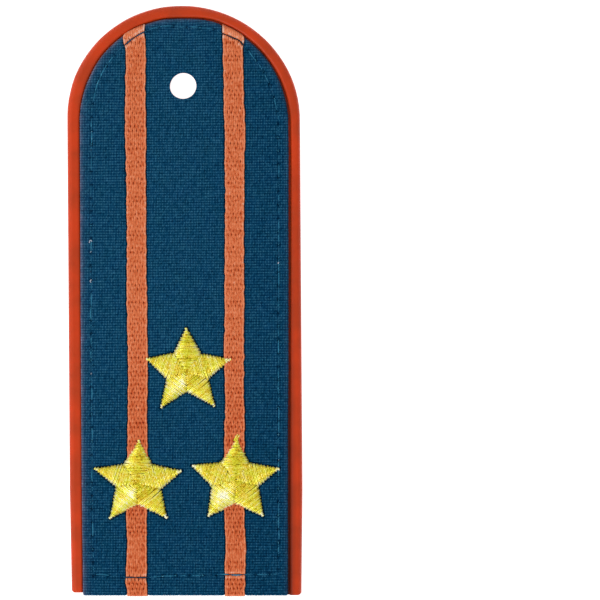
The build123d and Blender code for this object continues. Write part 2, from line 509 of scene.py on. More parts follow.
star = {
    "pitch": 0.36 * mm,         # from one stitch to the next along an arm
    "pitchVary": (0.88, 1.12),  # shares of it
    "thread": 0.21 * mm,        # radius
    "threadVary": (0.85, 1.05),
    "crest": 0.92 * mm,         # height of an arm's ridge at the centre
    "tipCrest": 0.40 * mm,
    "tipFall": 1.7,             # the ridge starts to fall at 1 - 1 / this of the arm
    "hollow": (0.3, 0.8 * mm),  # and is lower in the star's middle: share and radius
    "fullness": 2.6,            # power of an arm's cross section
    "foot": 0.04 * mm,          # height of a stitch's ends
    "footFall": (0.20 * mm, 10),        # how far they bend down on a free arm, and with what power
    "tuck": (0.24 * mm, 14),    # and where arms meet, where they go under
    "tipHalf": 0.26 * mm,       # half width at the very tip
    "seamDip": 0.10,            # share of the height lost where two arms meet
    "arms": (0.2 * mm, 0.1 * mm),       # stitches start so far from the centre, and end so far from the tip
    "points": 15,
    "dent": 0.30 * mm,          # depth of the cloth beside a star
    "dentWidth": 0.30 * mm,
    "edgeShade": (0.7, 0.25 * mm),      # it is darker there: share and width
    "tooth": 0.10 * mm,         # stitches end this far out and in by turns
    "toothVary": (0.2, 1.4),
    "ragged": (0.28 * mm, 0.08 * mm),   # their ends stray by up to this, where arms meet and on a free arm
    "uneven": 0.04 * mm,        # and their heights by this
    "lean": 0.07 * mm,          # and they lean by this
    "slits": (4.1 * mm, 5.0 * mm),      # gaps between stitches, so far out on the lower right arm
    "slitWidth": 0.07 * mm,
    "slitReach": 0.5 * mm,      # stitches this near a gap are moved aside
    "lightward": Vector((-0.5, -0.87)),
    # Tone: its middle, then by how much it varies from stitch to stitch, along an arm and in the thread
    "tone": 0.52,
    "toneVary": (0.11, 0.12, 0.22),
    # How much brighter the light makes these, or, where it says so, duller
    "glow": {
        "edge": 0.08,           # any free edge
        "litEdge": 0.36,        # one that faces the light
        "tip": 0.35,
        "topArm": 0.04,
        "topRidge": 0.18,       # duller
        "shine": 0.33,          # the spot on the lower left arm
        "wideShine": 0.16,      # and all round it
        "lowerRight": 0.06,     # duller
        "centre": 0.3,          # duller
    },
    # The form under the stitches; the crest is a share of theirs
    "pad": {"inset": 0.35 * mm, "foot": -0.45 * mm, "wall": 0.35 * mm, "crest": 0.45},
    # A loose end; it comes down and grows brighter by so much at each step
    "tuft": {
        "steps": 5, "height": 0.35 * mm, "fall": 0.05 * mm, "thread": 0.75, "tone": 0.45, "toneRise": 0.05,
    },
    # Where each one's centre came to lie on the face, in mm, and its tips and notches from there as
    # (degrees, mm), anticlockwise from the upright arm and from the notch that follows it
    "shapes": {
        "star_top": {
            "centre": (0.41, -17.13),
            "shine": (2.7 * mm, 0.28),      # along the lower left arm, and out from its middle as a share
            "tips": [(90.1, 10.8), (161.3, 10.2), (233.8, 10.7), (309.3, 10.8), (16.0, 11.2)],
            "notches": [(122.3, 5.6), (198.7, 5.05), (270.5, 4.7), (342.5, 5.45), (50.7, 5.7)],
        },
        "star_left": {
            "centre": (-11.70, -43.80),
            "shine": (2.9 * mm, 0.22),
            "tips": [(86.7, 10.5), (160.6, 10.8), (232.5, 10.7), (310.5, 11.1), (15.0, 11.3)],
            "notches": [(125.3, 5.6), (189.5, 5.1), (271.5, 5.25), (345.7, 6.0), (50.1, 5.9)],
        },
        "star_right": {
            "centre": (12.11, -43.17),
            "shine": (4.3 * mm, 0.0),
            "tips": [(88.5, 10.1), (161.0, 11.3), (232.3, 11.1), (307.2, 11.0), (14.6, 10.9)],
            "notches": [(130.5, 5.6), (194.0, 6.0), (268.3, 5.8), (344.3, 5.65), (51.9, 5.3)],
            # Loose thread ends at its top, each from one place to another
            "tufts": [((-0.4, 9.5), (0.7, 11.3)), ((0.6, 9.3), (0.0, 10.7)), ((0.3, 9.7), (1.0, 10.9))],
        },
    },
}


def polarPlace(degrees, reach):
    return Vector((math.cos(math.radians(degrees)), math.sin(math.radians(degrees)))) * reach * mm


def starCorners(name):
    # Tips and notches in turn round the star, on the finished face
    shape = star["shapes"][name]
    centre = Vector(shape["centre"]) * mm
    corners = []
    for tip, notch in zip(shape["tips"], shape["notches"]):
        corners += [centre + polarPlace(*tip), centre + polarPlace(*notch)]
    return centre, corners


def fromStar(corners, place):
    # Distance to the star's outline, negative inside
    inside = False
    nearest = 1.0
    for a, b in zip(corners, corners[1:] + corners[:1]):
        run = b - a
        share = clamp((place - a).dot(run) / run.dot(run))
        nearest = min(nearest, (place - a - run * share).length)
        if (a.y > place.y) != (b.y > place.y):
            if place.x < a.x + (place.y - a.y) / run.y * run.x:
                inside = not inside
    return -nearest if inside else nearest


def nearestStar(starShapes, x, y):
    place = Vector((x, y))
    nearest = 1.0
    for centre, corners in starShapes:
        if (place - centre).length < 13 * mm:       # further out no star dents the cloth
            nearest = min(nearest, fromStar(corners, place))
    return nearest


# The cloth cover: a fine grid on the flat cut, woven by moving its points, then laid over the plate

hole = {
    "radius": 3.2 * mm,
    "along": 51.75 * mm,
    "wall": 1.35 * mm,          # how deep the cloth's cut edge shows
}


def weaveHeight(across, along):
    # A bump where warp and weft cross, and a pinhole between. Each thread stands out more in some places
    # than in others.
    end, rib = across / cover["threadPitch"], along / cover["ribPitch"]
    warpUneven, weftUneven = cover["uneven"]
    warp = -math.cos(2 * math.pi * end) * (1 + warpUneven * noiseAt(end * 2, 5.5, along / (1.3 * mm)))
    weft = -math.cos(2 * math.pi * rib) * (1 + weftUneven * noiseAt(3.1, rib * 2, across / (1.5 * mm)))
    warpShare, weftShare, crossShare = cover["weave"]
    return warpShare * warp + weftShare * weft + crossShare * warp * weft


def latticePlaces(low, high, pitch, isHidden, skip):
    # Every half pitch from low to high, but only each skip-th one where nothing is seen
    places = []
    for k in range(math.ceil(low / pitch * 2), math.floor(high / pitch * 2) + 1):
        if not isHidden(k * pitch / 2) or k % skip == 0:
            places.append(k * pitch / 2)
    return places


def underStripe(across):
    return any(abs(across - centre) < stripe["hidden"] for centre in stripeCentres.values())


def deepInHem(along):
    return along < cover["hemStart"]


def clothGrid():
    # The sheet's own points, with the round end cut and the button hole opened
    columnSkip, rowSkip = cover["gridSkip"]
    columns = latticePlaces(-cover["outer"], cover["outer"], cover["threadPitch"], underStripe, columnSkip)
    low, high = cover["hemStart"] - cover["hemReach"], cover["shoulder"] + cover["outer"]
    rows = latticePlaces(low, high, cover["ribPitch"], deepInHem, rowSkip)
    bm, tone = newToneMesh()
    bmesh.ops.create_grid(bm, x_segments=len(columns) - 1, y_segments=len(rows) - 1, size=1.0)
    for v in bm.verts:
        column = round((v.co.x + 1) / 2 * (len(columns) - 1))
        row = round((v.co.y + 1) / 2 * (len(rows) - 1))
        v.co = (columns[column], rows[row], 0)

    # Whole squares go first, and a strip then runs from the stepped edge to the true circle
    middle, centre = Vector((0, cover["shoulder"], 0)), Vector((0, hole["along"], 0))
    beyond = [f for f in bm.faces if max(
        (v.co - middle).length if v.co.y > middle.y else 0.0 for v in f.verts) > cover["outer"]]
    within = [f for f in bm.faces if min((v.co - centre).length for v in f.verts) < hole["radius"]]
    bmesh.ops.delete(bm, geom=beyond + within, context="FACES")
    for origin, radius, isNear in ((centre, hole["radius"], nearHole), (middle, cover["outer"], nearArc)):
        for v in extrudeRim(bm, isNear):
            v.co = origin + (v.co - origin).normalized() * radius
    return bm, tone


def nearHole(co):
    return (co.xy - Vector((0, hole["along"]))).length < hole["radius"] + cover["rimReach"]


def nearArc(co):
    fromMiddle = (co.xy - Vector((0, cover["shoulder"]))).length
    return co.y > cover["shoulder"] and fromMiddle > cover["outer"] - cover["rimReach"]


def extrudeRim(bm, isNear):
    # New points all along one part of the sheet's edge, still in place
    rim = [e for e in bm.edges if e.is_boundary and all(isNear(v.co) for v in e.verts)]
    ring = bmesh.ops.extrude_edge_only(bm, edges=rim)["geom"]
    return [v for v in ring if isinstance(v, bmesh.types.BMVert)]


def edgeHighlightShare(across, along):
    # Painted highlight along the left edge, where the cloth turns down towards the light, and a little along
    # the right one
    outX, _, reach, _ = outwardAt(across, along)
    inward = max(cover["half"] - reach, 0.0)
    if inward > cover["edgeHighlightReach"]:
        return 0.0
    (close, closeWidth), (wide, wideWidth), (right, rightWidth) = cover["pale"]
    patches, patchSize = cover["edgeHighlightPatches"]
    patchy = 1 + patches * noiseAt(across / patchSize, along / patchSize, 4.4)
    left = close * math.exp(-inward / closeWidth) + wide * math.exp(-inward / wideWidth)
    return (left * (0.5 - 0.5 * outX) + right * max(outX, 0.0) * bell(inward, rightWidth)) * patchy


def plainWeave(across, along):
    # Height off the face, tone and painted edge highlight of the cloth alone
    end, rib = across / cover["threadPitch"], along / cover["ribPitch"]
    height = weaveHeight(across, along)
    streak = noiseAt(end * 0.4, rib * 3.1, 2.2)      # slubs, drawn out along the ribs
    tick = noiseAt(end * 3.1, rib * 2.3, 7.7)        # single crossings
    lift = cover["relief"] * (height + cover["slub"] * streak + cover["tick"] * tick)
    middle, heightShare, slubShare, tickShare = cover["tone"]
    # Painted shade and highlight: the tone follows the weave's height, darker in the pinholes
    shade = middle + heightShare * height + slubShare * streak + tickShare * tick
    (lower, lowerLength), (right, rightLength) = cover["lowerShade"], cover["rightShade"]
    shade -= lower * blend(-along / lowerLength) + right * blend(across / rightLength)
    return lift, shade, edgeHighlightShare(across, along) * (0.75 + 0.9 * height)


def weaveCover():
    bm, tone = clothGrid()
    pale = bm.verts.layers.float.new("pale")
    starShapes = [starCorners(name) for name in star["shapes"]]
    stripeShade, stripeShadeWidth = stripe["edgeShade"]
    holeShade, holeShadeWidth, holeShadeLength = seam["holeShade"]
    starShade, starShadeWidth = star["edgeShade"]
    for v in bm.verts:
        across, along = v.co.x, v.co.y
        lift, shade, v[pale] = plainWeave(across, along)
        for name, centre in stripeCentres.items():
            if abs(across - centre) < stripe["hidden"]:
                lift, shade = -stripe["hiddenDepth"], 0.0
            elif abs(across - centre) < stripe["near"]:
                left, right = stripeEdges(name, along)
                gap = max(left - across, across - right, 0.0)
                lift -= stripe["edgeDent"] * bell(gap, stripe["edgeDentWidth"])
                shade -= stripeShade * bell(gap, stripeShadeWidth)
        if along > cover["hemStart"]:
            distance, fromHole = seamNear(across, along)
            lift -= seamDent(distance, fromHole)
            shade -= holeShade * bell(distance, holeShadeWidth) * bell(fromHole, holeShadeLength)
            gap = 1.0
            if along < 0:
                strayX, strayY = clothStray(across, along)
                gap = max(nearestStar(starShapes, across + strayX, along + strayY), 0.0)
            lift -= star["dent"] * bell(gap, star["dentWidth"])
            shade -= starShade * bell(gap, starShadeWidth)
        swayX = cover["sway"][0] * noiseAt(across / (9 * mm), along / (6 * mm), 1.7)
        swayY = cover["sway"][1] * noiseAt(across / (14 * mm), along / (5 * mm), 8.3)
        v[tone] = clamp(shade)
        v.co = clothPoint(across + swayX, along + swayY, lift)
    bmesh.ops.translate(bm, verts=extrudeRim(bm, nearHole), vec=(0, 0, -hole["wall"]))
    bmesh.ops.recalc_face_normals(bm, faces=bm.faces)
    top = max(bm.faces, key=lambda f: f.calc_center_median().z)
    if top.normal.z < 0:
        bmesh.ops.reverse_faces(bm, faces=bm.faces)
    return meshFromBmesh("cloth_cover", bm)


# Cotton rep, piece dyed: a plain weave whose thick weft makes ribs across the board. Matt, with a little
# sheen on the ribs; the dark pinholes between the threads and the lighter crossings are painted shade and
# painted highlight in the tone.
def repCloth():
    material = newMaterial("rep_cloth_piece_dyed")
    place = addNode(material, "ShaderNodeTexCoord")
    weave = addNode(material, "ShaderNodeAttribute", {"attribute_name": "tone"})
    highlit = addNode(material, "ShaderNodeAttribute", {"attribute_name": "pale"})
    navy = addNode(material, "ShaderNodeValToRGB", {"stops": [
        (0.0, "#000c20"), (0.3, "#002b4d"), (0.5, "#093e62"), (0.72, "#20567b"), (1.0, "#508aa6"),
    ]}, {"Fac": (weave, "Fac")})
    teal = addNode(material, "ShaderNodeValToRGB", {"stops": [
        (0.0, "#000e1c"), (0.3, "#002d46"), (0.5, "#09405a"), (0.72, "#205873"), (1.0, "#508ca0"),
    ]}, {"Fac": (weave, "Fac")})
    patches = addNode(material, "ShaderNodeTexNoise", {"Scale": 1 / (3.5 * mm), "Detail": 2.0}, {
        "Vector": (place, "Object")})
    sound = addNode(material, "ShaderNodeMix", {"data_type": "RGBA"}, {
        0: (patches, "Fac"), 6: (navy, "Color"), 7: (teal, "Color")})
    # Painted highlight along the cloth's edges, mixed over the dye
    dyeAndHighlight = addNode(material, "ShaderNodeMix", {"data_type": "RGBA", 7: linearColour("#9593ae")}, {
        0: (highlit, "Fac"), 6: (sound, 2)})
    # One cotton fibre is too fine to show, so the grain that they give is drawn several times as coarse
    fibre = addNode(material, "ShaderNodeTexNoise", {"Scale": 1 / (0.10 * mm), "Detail": 2.0}, {
        "Vector": (place, "Object")})
    bump = addNode(material, "ShaderNodeBump", {"Strength": 0.4, "Distance": 0.03 * mm}, {
        "Height": (fibre, "Fac")})
    shader = addNode(material, "ShaderNodeBsdfPrincipled", {
        "Roughness": 0.85, "Sheen Weight": 0.005, "Sheen Roughness": 0.4, "Specular IOR Level": 0.02,
    }, {"Base Color": (dyeAndHighlight, 2), "Normal": (bump, "Normal")})
    addNode(material, "ShaderNodeOutputMaterial", links={"Surface": (shader, "BSDF")})
    return material


coverPiece = addPiece("cloth_cover", weaveCover(), repCloth())
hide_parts("cloth_panel")
print("stage: cloth cover", len(coverPiece.data.polygons), "faces")


# The woven stripes: yarns side by side, which part in turn and leave rows of pinholes

def stripeRange(across):
    # Along the sheet, from the arc's turned edge to the end of the hem
    outer = cover["outer"] - stripe["arcInset"]
    return cover["hemStart"] - cover["hemReach"], cover["shoulder"] + math.sqrt(outer ** 2 - across ** 2)


def hemPress(along):
    # How deep the stripe is pressed in here
    return stripe["hemSink"] * blend((cover["hemStart"] + mm - along) / mm)


def yarnPath(name, number):
    low, high = stripeRange(stripeCentres[name])
    share = number / (stripe["yarns"] - 1)
    seed = number * 7.7 + stripe["seeds"][name][1]
    tones = stripe["tones"]
    isOuter = number in (0, stripe["yarns"] - 1)
    part = stripe["part"] * (stripe["outerPart"] if isOuter else 1.0)
    swayAside, swayUp = stripe["sway"]
    path = []
    steps = int((high - low) / stripe["sampling"])
    for i in range(steps + 1):
        along = low + (high - low) * i / steps
        left, right = stripeEdges(name, along)
        width = right - left - 2 * stripe["yarnRadius"]
        across = left + stripe["yarnRadius"] + width * share
        across += swayAside * noiseAt(seed, along / (2 * mm))
        if i == steps:
            along = stripeRange(across)[1]
        toRight, toLeft = parting(name, number, along), parting(name, number - 1, along)
        dip = max(toRight, toLeft)
        across += part * (toLeft - toRight)
        lift = stripe["proud"] - stripe["dip"] * dip + swayUp * noiseAt(seed, along / (1.5 * mm), 5)
        # Painted shade: the tone drops where the yarn dips
        tone = tones["middle"] + tones["slow"] * noiseAt(seed, along / (1.1 * mm), 8) - tones["dip"] * dip
        tone += tones["fine"] * noiseAt(seed, along / (0.5 * mm), 14)
        tone -= tones["lower"] * blend(-along / (40 * mm))
        tone += tones["outer"] * isOuter + tones["flat"] * outsideSeam(across, along)
        if along > cover["hemStart"]:
            distance, _ = seamNear(across, along)
            lift -= stripe["seamSink"] * bell(distance, 0.34 * mm)
            # Painted highlight on the yarns beside the seam, and painted shade under its thread
            tone += tones["besideSeam"] * bell(distance - 0.55 * mm, 0.28 * mm)
            tone -= tones["atSeam"] * bell(distance, 0.3 * mm)
        lift -= hemPress(along)
        path.append((clothPoint(across, along, lift), 1 - stripe["thinning"] * dip, clamp(tone)))
    return path


def parting(name, number, along):
    # About 1 where the yarn of this number and the next one part, 0 where they lie together
    seed = number * 3.3 + stripe["seeds"][name][2]
    together, alone = stripe["jitter"]
    jitter = together * noiseAt(along / (9 * mm), 1.3) + alone * noiseAt(seed, along / (3 * mm), 3)
    turn = (along + jitter) / stripe["repeat"] + 0.5 * (number % 2)
    wide = stripe["openness"][round(turn) % 2] + stripe["partVary"] * noiseAt(seed, along / (1.7 * mm), 6)
    looser, looserLength = stripe["looser"]
    wide += looser * blend(-along / looserLength)
    wide *= 1 - outsideSeam(stripeCentres[name], along)
    pressed, pressedPlace, pressedLength = stripe["pressed"]
    wide -= pressed * bell(along - pressedPlace, pressedLength)
    return max(wide, 0.0) * bell(abs(turn - round(turn)) * stripe["repeat"], stripe["partLength"])


def outsideSeam(across, along):
    # 1 between the seam and the arc, where the stripe is pressed close, and 0 inside the seam
    past = math.hypot(across, along - cover["shoulder"]) - seam["left"] - 0.6 * mm
    return blend(past / (0.5 * mm)) if along > cover["shoulder"] else 0.0


def stripeBed(name):
    # A thin strip under the yarns, so that nothing shows between them; it is dark, as painted shade
    low, high = stripeRange(stripeCentres[name])
    bed, tone = newToneMesh()
    xSegments, ySegments = stripe["bedSegments"]
    bmesh.ops.create_grid(bed, x_segments=xSegments, y_segments=ySegments, size=1.0)
    for v in bed.verts:
        along = low + (high - stripe["bedEnd"] - low) * (v.co.y + 1) / 2
        left, right = stripeEdges(name, along)
        across = (left + right) / 2 + v.co.x * (stripe["half"] - stripe["bedInset"])
        lift = stripe["bed"]
        if along > cover["hemStart"]:
            lift -= stripe["seamSink"] * bell(seamNear(across, along)[0], 0.5 * mm)
        lift -= hemPress(along)
        v.co = clothPoint(across, along, lift)
        # Painted shade: the strip is dark
        v[tone] = stripe["bedTone"]
    bmesh.ops.solidify(bed, geom=bed.faces[:], thickness=stripe["bedThickness"])
    return bed


# Viscose floss, dyed orange: soft multifilament yarn with a silky lustre. The dark gaps where it dips are
# painted shade.
def stripeYarn():
    material = newMaterial("viscose_floss_dyed")
    place = addNode(material, "ShaderNodeTexCoord")
    crest = addNode(material, "ShaderNodeAttribute", {"attribute_name": "tone"})
    thick, long = 0.12 * mm, 1.2 * mm       # of a bundle of strands, as a single one is too fine to show
    stretch = addNode(material, "ShaderNodeMapping", {"Scale": (1 / thick, 1 / long, 1 / thick)}, {
        "Vector": (place, "Object")})
    strands = addNode(material, "ShaderNodeTexNoise", {"Scale": 1.0, "Detail": 2.0}, {
        "Vector": (stretch, "Vector")})
    spread = addNode(material, "ShaderNodeMath", {"operation": "MULTIPLY_ADD", 1: 0.5, 2: -0.25}, {
        0: (strands, "Fac")})
    tone = addNode(material, "ShaderNodeMath", {"operation": "ADD"}, {
        0: (crest, "Fac"), 1: (spread, "Value")})
    colour = addNode(material, "ShaderNodeValToRGB", {"stops": [
        (0.0, "#902000"), (0.3, "#c04e16"), (0.55, "#dc7646"), (0.8, "#e88f66"), (1.0, "#eab8a2"),
    ]}, {"Fac": (tone, "Value")})
    bump = addNode(material, "ShaderNodeBump", {"Strength": 0.5, "Distance": 0.04 * mm}, {
        "Height": (strands, "Fac")})
    shader = addNode(material, "ShaderNodeBsdfPrincipled", {
        "Roughness": 0.6, "Sheen Weight": 0.05, "Sheen Roughness": 0.4, "Specular IOR Level": 0.3,
    }, {"Base Color": (colour, "Color"), "Normal": (bump, "Normal")})
    addNode(material, "ShaderNodeOutputMaterial", links={"Surface": (shader, "BSDF")})
    return material


yarnMaterial = stripeYarn()
for name in stripeCentres:
    yarns = [yarnPath(name, number) for number in range(stripe["yarns"])]
    bm = threadMesh(yarns, stripe["yarnRadius"], 8)
    joinInto(bm, stripeBed(name))
    piece = addPiece(name + "_woven", meshFromBmesh(name + "_woven", bm), yarnMaterial)
    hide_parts(name)
    print("stage:", name, len(piece.data.polygons), "faces")


# The stars: satin stitches across each arm, over a padded form

def halfWidth(t, length, notch):
    # An arm's half width on one side, t from the centre; notch is (along the arm, out from it)
    if t < notch[0]:
        return notch[1] * t / notch[0]
    return max(notch[1] * (length - t) / (length - notch[0]), star["tipHalf"])


def starLift(t, v, length, free):
    # Height of a stitch, t from the centre; v runs from -1 to 1 along the stitch, and free is 0 where the
    # arms meet and 1 on the free arm
    share = t / length
    hollow, hollowRadius = star["hollow"]
    crest = star["tipCrest"] + (star["crest"] - star["tipCrest"]) * min(1.0, star["tipFall"] * (1 - share))
    crest *= 1 - hollow * bell(t, hollowRadius)
    fall = star["seamDip"] + (1 - star["seamDip"]) * free
    tuck, tuckPower = star["tuck"]
    footFall, footPower = star["footFall"]
    foot = free * (star["foot"] - footFall * abs(v) ** footPower)
    return crest * (1 - fall * abs(v) ** star["fullness"]) + foot - tuck * (1 - free) * abs(v) ** tuckPower


def starGlow(arm, t, v, facing, free, shine):
    # How much brighter or duller the light catches a stitch here than elsewhere on the star. The edges that
    # face the lower left are the brightest.
    shares = star["glow"]
    glow = free * (shares["edge"] + shares["litEdge"] * facing) * blend((abs(v) - 0.6) / 0.4)
    glow += shares["tip"] * blend((t - 9.6 * mm) / (0.7 * mm))
    if arm == 0:
        glow += shares["topArm"] - shares["topRidge"] * bell(v + 0.1, 0.5)
    if arm == 2:
        glow += shares["shine"] * bell(t - shine[0], 1.3 * mm) * bell(v - shine[1], 0.4)
        glow += shares["wideShine"] * bell(t - 5 * mm, 3 * mm) * bell(v, 0.7)
    if arm == 3:
        glow -= shares["lowerRight"] * bell(t - 2.5 * mm, 3 * mm)
    return glow - shares["centre"] * bell(t, 0.45 * mm)


def slitShift(t):
    # How far along the arm a gap between stitches moves this one
    shift = 0.0
    for slit in star["slits"]:
        shift += math.copysign(star["slitWidth"], t - slit) * bell(t - slit, star["slitReach"])
    return shift


def starPaths(name, seed):
    random.seed(seed)
    shape = star["shapes"][name]
    centre = Vector(shape["centre"]) * mm
    fromCentre, fromTip = star["arms"]
    stitchTone, armTone, grainTone = star["toneVary"]
    paths = []
    for arm, (degrees, reach) in enumerate(shape["tips"]):
        axis = polarPlace(degrees, 1.0) / mm
        side = Vector((-axis.y, axis.x))
        length = reach * mm - fromTip
        left = polarPlace(*shape["notches"][arm])
        right = polarPlace(*shape["notches"][arm - 1])
        notches = ((left.dot(axis), left.dot(side)), (right.dot(axis), -right.dot(side)))
        t = fromCentre
        turn = 1
        while t < length:
            isFree = t >= min(notches[0][0], notches[1][0])
            ragged = star["ragged"][isFree]
            ends = [halfWidth(t, length, notch) for notch in notches]
            ends = [end + random.uniform(0.0, ragged) - star["thread"] / 2 for end in ends]
            if isFree:
                tooth = turn * star["tooth"] * random.uniform(*star["toothVary"])
                ends = [ends[0] + tooth, ends[1] - tooth]
            height = vary(star["uneven"])
            thick = random.uniform(*star["threadVary"])
            glow = vary(stitchTone) + armTone * noiseAt(seed, arm, t / (1.5 * mm))
            lean = vary(star["lean"])
            shift = slitShift(t) if arm == 3 else 0.0
            path = []
            for i in range(star["points"]):
                v = 2 * i / (star["points"] - 1) - 1
                out = ends[0] * v if v > 0 else ends[1] * v
                notchAlong = notches[0][0] if v > 0 else notches[1][0]
                free = blend((t / notchAlong - 0.8) / 0.35)
                flat = centre + axis * (t + lean * v + shift * blend(v * 2 + 0.4)) + side * out
                lift = starLift(t, v, length, free) + height
                facing = 0.5 + 0.5 * math.copysign(1.0, v) * side.dot(star["lightward"])
                grain = noiseAt(flat.x / (0.45 * mm), flat.y / (0.45 * mm), seed)
                bright = star["tone"] + glow + grainTone * grain
                bright += starGlow(arm, t, v, facing, free, shape["shine"])
                path.append((clothPoint(*flatPlace(flat.x, flat.y), lift), thick, clamp(bright, 0.05)))
            paths.append(path)
            turn = -turn
            t += star["pitch"] * random.uniform(*star["pitchVary"])
    return paths + [tuftPath(centre, ends) for ends in shape.get("tufts", [])]


def tuftPath(centre, ends):
    tuft = star["tuft"]
    start, stop = [centre + Vector(end) * mm for end in ends]
    path = []
    for i in range(tuft["steps"] + 1):
        place = flatPlace(*start.lerp(stop, i / tuft["steps"]))
        point = clothPoint(*place, tuft["height"] - tuft["fall"] * i)
        path.append((point, tuft["thread"], tuft["tone"] + tuft["toneRise"] * i))
    return path


def starPadding(name):
    # Closed ridged form just under the stitches
    centre, corners = starCorners(name)
    sizes = star["pad"]
    pad = bmesh.new()
    points = []
    for corner in corners:
        inset = centre + (corner - centre) * (1 - sizes["inset"] / (corner - centre).length)
        points.append(pad.verts.new(clothPoint(*flatPlace(*inset), sizes["foot"])))
    raised = bmesh.ops.extrude_face_region(pad, geom=[pad.faces.new(points)])["geom"]
    topFace = [f for f in raised if isinstance(f, bmesh.types.BMFace)][0]
    bmesh.ops.translate(pad, verts=topFace.verts[:], vec=(0, 0, sizes["wall"]))
    for v in bmesh.ops.poke(pad, faces=[topFace])["verts"]:
        v.co = clothPoint(*flatPlace(*centre), star["crest"] * sizes["crest"])
    bmesh.ops.recalc_face_normals(pad, faces=pad.faces)
    return pad


# Metallised thread, foil film wound on a core: each stitch glints like pale brass
def metallisedThread():
    material = newMaterial("metallised_thread_gold")
    place = addNode(material, "ShaderNodeTexCoord")
    stitch = addNode(material, "ShaderNodeAttribute", {"attribute_name": "tone"})
    # The glints are painted highlights: this noise lightens and darkens the colour along the thread
    glints = addNode(material, "ShaderNodeTexNoise", {"Scale": 1 / (0.28 * mm), "Detail": 1.0}, {
        "Vector": (place, "Object")})
    spread = addNode(material, "ShaderNodeMath", {"operation": "MULTIPLY_ADD", 1: 1.0, 2: -0.5}, {
        0: (glints, "Fac")})
    tone = addNode(material, "ShaderNodeMath", {"operation": "ADD"}, {
        0: (stitch, "Fac"), 1: (spread, "Value")})
    gold = addNode(material, "ShaderNodeValToRGB", {"stops": [
        (0.0, "#4e3a00"), (0.3, "#e2ba14"), (0.55, "#fbe74c"), (0.8, "#fff5a2"), (1.0, "#fffce6"),
    ]}, {"Fac": (tone, "Value")})
    lemon = addNode(material, "ShaderNodeValToRGB", {"stops": [
        (0.0, "#444000"), (0.3, "#dacc16"), (0.55, "#f6f54c"), (0.8, "#fffca0"), (1.0, "#fffee8"),
    ]}, {"Fac": (tone, "Value")})
    patches = addNode(material, "ShaderNodeTexNoise", {"Scale": 1 / (1.3 * mm), "Detail": 2.0}, {
        "Vector": (place, "Object")})
    sides = addNode(material, "ShaderNodeMath", {
        "operation": "MULTIPLY_ADD", "use_clamp": True, 1: 4.0, 2: -1.5,
    }, {0: (patches, "Fac")})
    colour = addNode(material, "ShaderNodeMix", {"data_type": "RGBA"}, {
        0: (sides, "Value"), 6: (gold, "Color"), 7: (lemon, "Color")})
    # The film's windings, drawn coarser than they are so that they show
    fine = addNode(material, "ShaderNodeTexNoise", {"Scale": 1 / (0.15 * mm), "Detail": 2.0}, {
        "Vector": (place, "Object")})
    bump = addNode(material, "ShaderNodeBump", {"Strength": 0.5, "Distance": 0.04 * mm}, {
        "Height": (fine, "Fac")})
    shader = addNode(material, "ShaderNodeBsdfPrincipled", {
        "Metallic": 0.35, "Roughness": 0.36, "Specular IOR Level": 0.25,
    }, {"Base Color": (colour, 2), "Normal": (bump, "Normal")})
    addNode(material, "ShaderNodeOutputMaterial", links={"Surface": (shader, "BSDF")})
    return material


starMaterial = metallisedThread()
for seed, name in enumerate(star["shapes"], 11):
    bm = threadMesh(starPaths(name, seed), star["thread"], 6)
    joinInto(bm, starPadding(name))
    mesh = meshFromBmesh(name + "_embroidered", bm)
    piece = addPiece(name + "_embroidered", mesh, starMaterial)
    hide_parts(name)
    print("stage:", name, len(piece.data.polygons), "faces")


# The seam's stitches

def overStripe(across, along):
    # 1 on a stripe, 0 beside it
    share = 0.0
    for name in stripeCentres:
        left, right = stripeEdges(name, along)
        share = max(share, blend(1 - max(left - across, across - right) / seam["climb"]))
    return share


def stitchPaths():
    random.seed(5)
    points = seamLine(seam["stitch"] / seam["steps"])
    paths = []
    for first in range(0, len(points) - seam["steps"], seam["steps"]):
        wander = vary(seam["wander"])
        tone = random.uniform(*seam["tone"])
        sunk = random.uniform(0.0, seam["sunk"])
        path = []
        for i in range(0, seam["steps"] + 1, 2):
            x, y = points[first + i]
            arch = math.sin(math.pi * i / seam["steps"])
            stripeShare = overStripe(x, y)
            lift = seam["low"] + seam["rise"] * arch ** 0.5 - sunk + (seam["onStripe"] + sunk) * stripeShare
            shade = (tone + seam["mottle"] * noiseAt(first, i * 0.3)) * (1 - stripeShare)
            # Painted shade: over a stripe the thread is darkest at its needle holes
            crossing = seam["crossing"]["stripe_left" if x < 0 else "stripe_right"][y > 0]
            shade += crossing * arch * stripeShare
            thickness = 0.8 + 0.2 * arch        # thinner towards the needle holes
            path.append((clothPoint(x + wander * arch, y + wander * arch, lift), thickness, shade))
        paths.append(path)
    return paths + knotPaths(points)


def knotPaths(points):
    # At some needle holes a little of the pale lower thread is drawn up
    random.seed(8)
    paths = []
    for first in range(0, len(points), seam["steps"]):
        x, y = points[first]
        if random.random() < seam["knots"] and overStripe(x, y) == 0:
            turn = random.uniform(0, math.pi)
            tone = random.uniform(*seam["knotTone"])
            paths.append(curl(x, y, seam["knotRadius"], turn, 0.5, tone))
    for x, y, radius, turn in seam["lint"]:
        paths.append(curl(x * mm, y * mm, radius * mm, turn, 0.65, 1.0))
    return paths


def curl(x, y, radius, turn, thickness, tone):
    # A short bent piece of thread that lies on the cloth; its thickness is a share of the seam's thread
    steps = seam["curlSteps"]
    low, rise = seam["curlHeight"]
    path = []
    for i in range(steps + 1):
        angle = turn + i * seam["curlTurn"]
        place = x + radius * math.cos(angle), y + radius * math.sin(angle) * seam["curlStretch"]
        path.append((clothPoint(*place, low + rise * math.sin(math.pi * i / steps)), thickness, tone))
    return path


